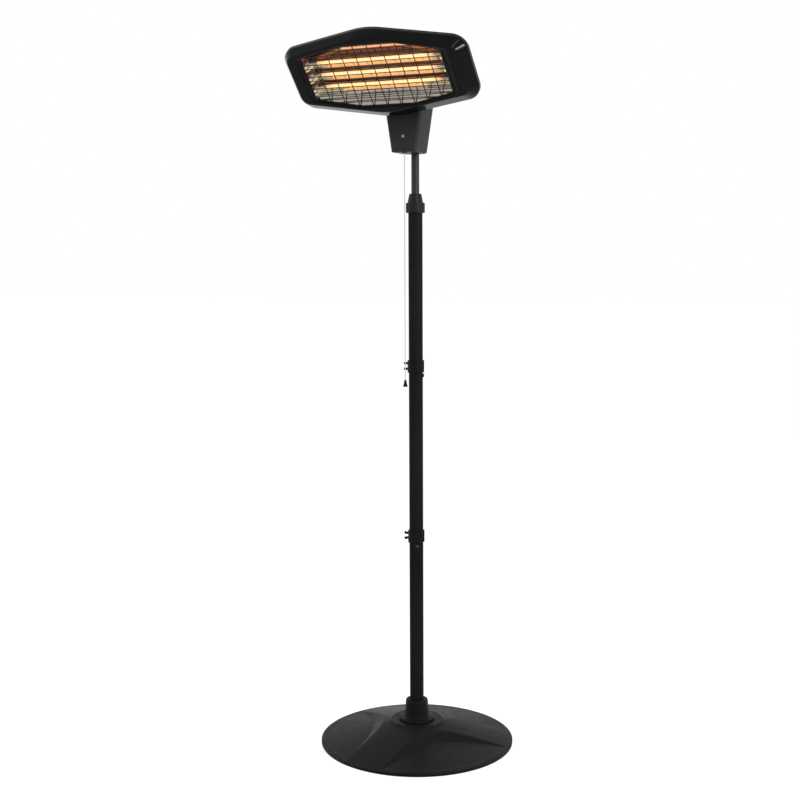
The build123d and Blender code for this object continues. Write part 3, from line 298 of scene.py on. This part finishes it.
# ---------------------------------------------------------------- materials
base_paint = surface("satin_base_paint", (0.0066, 0.0069, 0.0060), (0.0092, 0.0096, 0.0084),
                     rough=(0.38, 0.48), grain=650, specular=0.05, edge=0.009)
tube_paint = surface("satin_tube_paint", (0.0095, 0.0096, 0.0093), (0.0135, 0.0136, 0.0132),
                     rough=(0.28, 0.36), cloud=3.0, specular=0.014)
lock_plastic = surface("lock_plastic", (0.0090, 0.0090, 0.0090), (0.0125, 0.0125, 0.0125),
                       rough=(0.28, 0.40), grain=1500, specular=0.12, edge=0.0008)
clip_plastic = surface("clip_plastic", (0.0050, 0.0050, 0.0049), (0.0072, 0.0072, 0.0070),
                       rough=(0.40, 0.52), grain=1500, specular=0.05, edge=0.0008)
neck_plastic = surface("neck_plastic", (0.0225, 0.0235, 0.0260), (0.0295, 0.0310, 0.0340),
                       rough=(0.38, 0.48), grain=1500, specular=0.08, edge=0.002)
bezel_plastic = surface("bezel_plastic", (0.0014, 0.0017, 0.0018), (0.0022, 0.0025, 0.0026),
                        rough=(0.09, 0.13), grain=1100, grain_depth=0.00002, specular=0.085,
                        edge=0.005)
housing_paint = surface("housing_paint", (0.0060, 0.0060, 0.0063), (0.0080, 0.0080, 0.0085),
                        rough=(0.40, 0.50), specular=0.12, edge=0.002)
rod_paint = surface("rod_paint", (0.0260, 0.0260, 0.0265), (0.0340, 0.0340, 0.0345),
                    rough=(0.25, 0.32), specular=0.10)
nylon = surface("guide_nylon", (0.60, 0.60, 0.57), (0.68, 0.68, 0.64), rough=(0.45, 0.55))
zinc = surface("zinc_steel", (0.52, 0.53, 0.55), (0.62, 0.63, 0.65), rough=(0.25, 0.40),
               metallic=1.0)
black_zinc = surface("black_zinc_steel", (0.030, 0.030, 0.031), (0.045, 0.045, 0.047),
                     rough=(0.30, 0.42), metallic=1.0)
dull_zinc = surface("dull_zinc_steel", (0.20, 0.20, 0.21), (0.26, 0.26, 0.27),
                    rough=(0.35, 0.50), metallic=1.0)
cast = surface("cast_aluminium", (0.45, 0.45, 0.46), (0.55, 0.55, 0.56), rough=(0.45, 0.60),
               metallic=1.0)
guard_finish = surface("guard_wire", (0.006, 0.006, 0.006), (0.012, 0.011, 0.010),
                       rough=(0.35, 0.50), specular=0.3)
# the reflector's tints paint its dark reflections, its shade and its light
mirror = metal_with_painted_reflection("reflector_metal", clean=(0.52, 0.44, 0.26), painted_dark_reflection=(0.14, 0.052, 0.028),
                           painted_shade_lower_side=(0.34, 0.31, 0.265), painted_light_upper_side=(0.66, 0.58, 0.48))
ceramic = surface("white_ceramic", (0.72, 0.71, 0.68), (0.80, 0.79, 0.76), rough=(0.55, 0.70))
terminal = surface("terminal_white", (0.68, 0.68, 0.66), (0.75, 0.75, 0.73), rough=(0.40, 0.50))
rubber = surface("rubber_black", (0.010, 0.010, 0.010), (0.018, 0.018, 0.018),
                 rough=(0.70, 0.85), specular=0.3)
cement = surface("cement", (0.36, 0.35, 0.33), (0.45, 0.44, 0.41), rough=(0.85, 0.95),
                 grain=300, grain_depth=0.0004)
braid = surface("cord_braid", (0.50, 0.50, 0.50), (0.62, 0.62, 0.61), rough=(0.65, 0.80),
                grain=2500)
quartz = clear_quartz("quartz_glass", glow=(1.0, 0.44, 0.17), strength=0.36)
hot_wire = glowing_metal("glowing_coil", glow=(1.0, 0.53, 0.29), strength=1.30)

finishes = {
    base_paint: ["base_cover", "base_plate", "base_collar"],
    tube_paint: ["lower_tube", "middle_tube", "upper_tube", "lock_sleeve"],
    lock_plastic: ["twist_collar", "lock_collet", "friction_discs", "rod_end_cap"],
    clip_plastic: ["cable_clip_lower", "cable_clip_upper", "cable_gland", "gland_nut",
                   "cord_bush", "pull_bell"],
    neck_plastic: ["neck_front_shell", "neck_rear_shell"],
    bezel_plastic: ["front_bezel"],
    housing_paint: ["rear_housing", "tilt_bracket"],
    rod_paint: ["inner_rod"],
    nylon: ["guide_bush", "retaining_ring", "switch_plunger"],
    zinc: ["base_bolt", "base_washer", "tube_foot_plug", "socket_bolt", "socket_nut",
           "tilt_bolt", "tilt_nut", "tilt_washers", "bracket_screws", "housing_screws",
           "reflector_screws", "lamp_bracket_left", "lamp_bracket_right", "heat_shield"],
    black_zinc: ["joint_screws"],
    dull_zinc: ["neck_screws"],
    cast: ["rod_socket"],
    guard_finish: ["guard_frame", "guard_uprights", "guard_cross_wires"],
    mirror: ["reflector"],
    ceramic: ["lamp_caps"],
    terminal: ["terminal_block", "pull_switch"],
    rubber: ["rubber_feet", "centre_foot"],
    cement: ["ballast"],
    quartz: ["lamp_bottom", "lamp_middle", "lamp_top"],
    hot_wire: ["heating_coils"],
    braid: ["pull_cord"],
}


def finish_nodes():
    """Gives every node of the CAD its material."""
    for material, names in finishes.items():
        for name in names:
            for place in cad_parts[name].material_slots:
                place.material = material


# ---------------------------------------------------------------- pull cord
def smooth_line(name, points, radius):
    """A round line on one open NURBS spline."""
    data = bpy.data.curves.new(name, "CURVE")
    data.dimensions = "3D"
    data.bevel_depth = radius
    data.bevel_resolution = 4
    data.use_fill_caps = True
    spline = data.splines.new("NURBS")
    spline.points.add(len(points) - 1)
    for point, place in zip(spline.points, points):
        point.co = (*place, 1)
    spline.order_u = 3
    spline.use_endpoint_u = True
    return add_object(name, data)


def pull_cord():
    """The cord hangs straight from the switch's plunger down into the bell."""
    points = [(0, cord_y, z) for z in (cord_top, *cord_between, cord_bottom)]
    cord = smooth_line("hanging_pull_cord", points, cord_radius)
    cord.data.materials.append(braid)
    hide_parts("pull_cord")
    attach(cord, "pull")


# ---------------------------------------------------------------- lamps
def mesh_piece(name, shape, material):
    """Turns a mesh under construction into a smooth object of one material."""
    for face in shape.faces:
        face.smooth = True
    mesh = bpy.data.meshes.new(name)
    shape.to_mesh(mesh)
    shape.free()
    mesh.materials.append(material)
    return add_object(name, mesh)


def tube_along(shape, points, radius, sides):
    """Adds a tube round a row of points to a mesh under construction."""
    rings = []
    for index, point in enumerate(points):
        ahead = points[min(index + 1, len(points) - 1)]
        behind = points[max(index - 1, 0)]
        along = (ahead - behind).normalized()
        across = along.cross(Vector((0, 0, 1))).normalized()
        over = along.cross(across)
        turns = [2 * math.pi * side / sides for side in range(sides)]
        rings.append([shape.verts.new(point + (across * math.cos(turn) + over * math.sin(turn)) * radius)
                      for turn in turns])
    for first, second in zip(rings, rings[1:]):
        for side in range(sides):
            after = (side + 1) % sides
            shape.faces.new((first[side], first[after], second[after], second[side]))
    shape.faces.new(reversed(rings[0]))
    shape.faces.new(rings[-1])


def heating_windings():
    """A wound wire in each lamp."""
    turns = 2 * coil_half_length / coil_turn
    shape = bmesh.new()
    for row in lamp_rows:
        wound = []
        for index in range(int(turns * coil_steps) + 1):
            x = -coil_half_length + index * coil_turn / coil_steps
            angle = 2 * math.pi * index / coil_steps
            wound.append(head_place(x, row * lamp_pitch + coil_radius * math.cos(angle),
                                    -lamp_depth + coil_radius * math.sin(angle)))
        tube_along(shape, wound, coil_wire, sides=6)
    piece = mesh_piece("heating_windings", shape, hot_wire)
    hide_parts("heating_coils")
    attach(piece, "head")


def lamp_leads():
    """The straight leads between the windings and the caps."""
    shape = bmesh.new()
    for row in lamp_rows:
        for side in (-1, 1):
            lead = [head_place(side * (coil_half_length + step / lead_steps * lead_length),
                               row * lamp_pitch, -lamp_depth) for step in range(lead_steps + 1)]
            tube_along(shape, lead, lead_radius, sides=8)
    piece = mesh_piece("lamp_leads", shape, zinc)
    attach(piece, "head")


# ---------------------------------------------------------------- reflector
def opening_edge(x):
    """Half height of the reflector's opening at x."""
    return opening_half_height - max(0.0, abs(x) - opening_flat) * math.tan(opening_slope)


def reflector_depth(x, v):
    """How deep the reflector lies under the face: the troughs, cut by the four sloping sides."""
    if abs(x) >= opening_half_width or abs(v) >= opening_edge(x):
        return flange_depth
    row = round(max(lamp_rows[0], min(lamp_rows[-1], v / lamp_pitch))) * lamp_pitch
    off = min(abs(v - row), lamp_pitch / 2)
    rise = math.sqrt(trough_radius ** 2 - off ** 2)
    rise -= math.sqrt(trough_radius ** 2 - lamp_pitch ** 2 / 4)
    side = flange_depth + (opening_edge(x) - abs(v)) * math.tan(side_slope)
    end = flange_depth + (opening_half_width - abs(x)) * math.tan(end_slope)
    return min(ridge_depth + rise, side, end)


def reflector_columns():
    """Places across the reflector, from end to end."""
    wide = round(end_columns_from / column_step)
    narrow = round((opening_half_width - end_columns_from) / end_column_step)
    half = [step * column_step for step in range(wide)]
    half += [end_columns_from + step * end_column_step for step in range(narrow)]
    half += [opening_half_width + share * end_flange for share in (0, 0.5, 1)]
    return [-x for x in reversed(half)][:-1] + half


def troughed_reflector():
    """The reflector's sheet, with even troughs and sides that rise straight to the opening."""
    shape = bmesh.new()
    columns = []
    for x in reflector_columns():
        edge = opening_edge(x)
        upper = [trough_half + (edge - trough_half) * step / side_steps
                 for step in range(1, side_steps + 1)] + [edge + side_flange]
        middle = [-trough_half + 2 * trough_half * step / trough_steps
                  for step in range(trough_steps + 1)]
        heights = [-v for v in reversed(upper)] + middle + upper
        columns.append([shape.verts.new(head_place(x, v, -reflector_depth(x, v)))
                        for v in heights])
    for first, second in zip(columns, columns[1:]):
        for index in range(len(first) - 1):
            shape.faces.new((first[index], second[index], second[index + 1], first[index + 1]))
    piece = mesh_piece("troughed_reflector", shape, mirror)
    piece.data.set_sharp_from_angle(angle=crease_angle)
    sheet = piece.modifiers.new("sheet", "SOLIDIFY")
    sheet.thickness = reflector_sheet
    sheet.offset = -1
    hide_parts("reflector")
    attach(piece, "head")


# ---------------------------------------------------------------- studio
def sees_background(tree):
    """1 for camera, glossy and transmission rays, which see white, and 0 for all other rays."""
    path = tree.nodes.new("ShaderNodeLightPath")
    seen = path.outputs["Is Camera Ray"]
    for kind in ("Is Glossy Ray", "Is Transmission Ray"):
        seen = calculate(tree, "MAXIMUM", seen, path.outputs[kind])
    return seen


def studio_camera():
    """The photograph's camera."""
    forward = Vector((-math.sin(camera_azimuth) * math.cos(camera_drop),
                      math.cos(camera_azimuth) * math.cos(camera_drop), -math.sin(camera_drop)))
    level = Vector((math.cos(camera_azimuth), math.sin(camera_azimuth), 0))
    upright = level.cross(forward)
    turn = Matrix.Rotation(camera_roll, 3, forward)
    axes = Matrix((turn @ level, turn @ upright, -forward)).transposed()
    data = bpy.data.cameras.new("camera")
    data.lens = camera_lens
    data.sensor_width = camera_sensor
    camera = add_object("camera", data)
    camera.matrix_world = Matrix.Translation(camera_place) @ axes.to_4x4()
    bpy.context.scene.camera = camera


def studio_floor():
    """A pale floor that the camera sees white, with the object's soft shadow on it."""
    material, tree, shader = new_material("pale_floor")
    shader.inputs["Base Color"].default_value = (floor_grey, floor_grey, floor_grey, 1)
    shader.inputs["Roughness"].default_value = 0.9
    shader.inputs["Specular IOR Level"].default_value = 0.1
    glow = tree.nodes.new("ShaderNodeEmission")
    glow.inputs["Strength"].default_value = floor_glow
    both = tree.nodes.new("ShaderNodeAddShader")
    chooser = tree.nodes.new("ShaderNodeMixShader")
    tree.links.new(shader.outputs["BSDF"], both.inputs[0])
    tree.links.new(glow.outputs["Emission"], both.inputs[1])
    tree.links.new(sees_background(tree), chooser.inputs["Fac"])
    tree.links.new(shader.outputs["BSDF"], chooser.inputs[1])
    tree.links.new(both.outputs["Shader"], chooser.inputs[2])
    tree.links.new(chooser.outputs["Shader"], tree.nodes["Material Output"].inputs["Surface"])
    shape = bmesh.new()
    bmesh.ops.create_grid(shape, x_segments=1, y_segments=1, size=30)
    mesh_piece("floor", shape, material)


def studio_world():
    """A white backdrop for the camera, and a plain soft light for everything else."""
    world = bpy.data.worlds.new("studio")
    bpy.context.scene.world = world
    world.use_nodes = True
    tree = world.node_tree
    background = tree.nodes["Background"]
    background.inputs["Color"].default_value = (1, 1, 1, 1)
    brightness = map_range(tree, sees_background(tree), (0, 1), (room_light, 1))
    tree.links.new(brightness, background.inputs["Strength"])


def soft_light(name, place, target, width, height, power):
    """A large area light aimed at a point."""
    data = bpy.data.lights.new(name, "AREA")
    data.shape = "RECTANGLE"
    data.size, data.size_y, data.energy = width, height, power
    light = add_object(name, data)
    light.location = place
    aim = Vector(target) - Vector(place)
    light.rotation_euler = aim.to_track_quat("-Z", "Y").to_euler()


bpy.context.scene.view_settings.view_transform = "Standard"
studio_camera()
studio_world()
studio_floor()
soft_light("key", (2.6, -2.2, 2.6), mast_middle, width=1.2, height=2.2, power=45)
soft_light("kicker", (2.8, -0.55, 1.58), head_right_end, width=0.40, height=0.50, power=28)
soft_light("fill", (-2.8, -1.8, 1.8), mast_middle, width=1.4, height=2.4, power=25)
finish_nodes()
pull_cord()
heating_windings()
lamp_leads()
troughed_reflector()
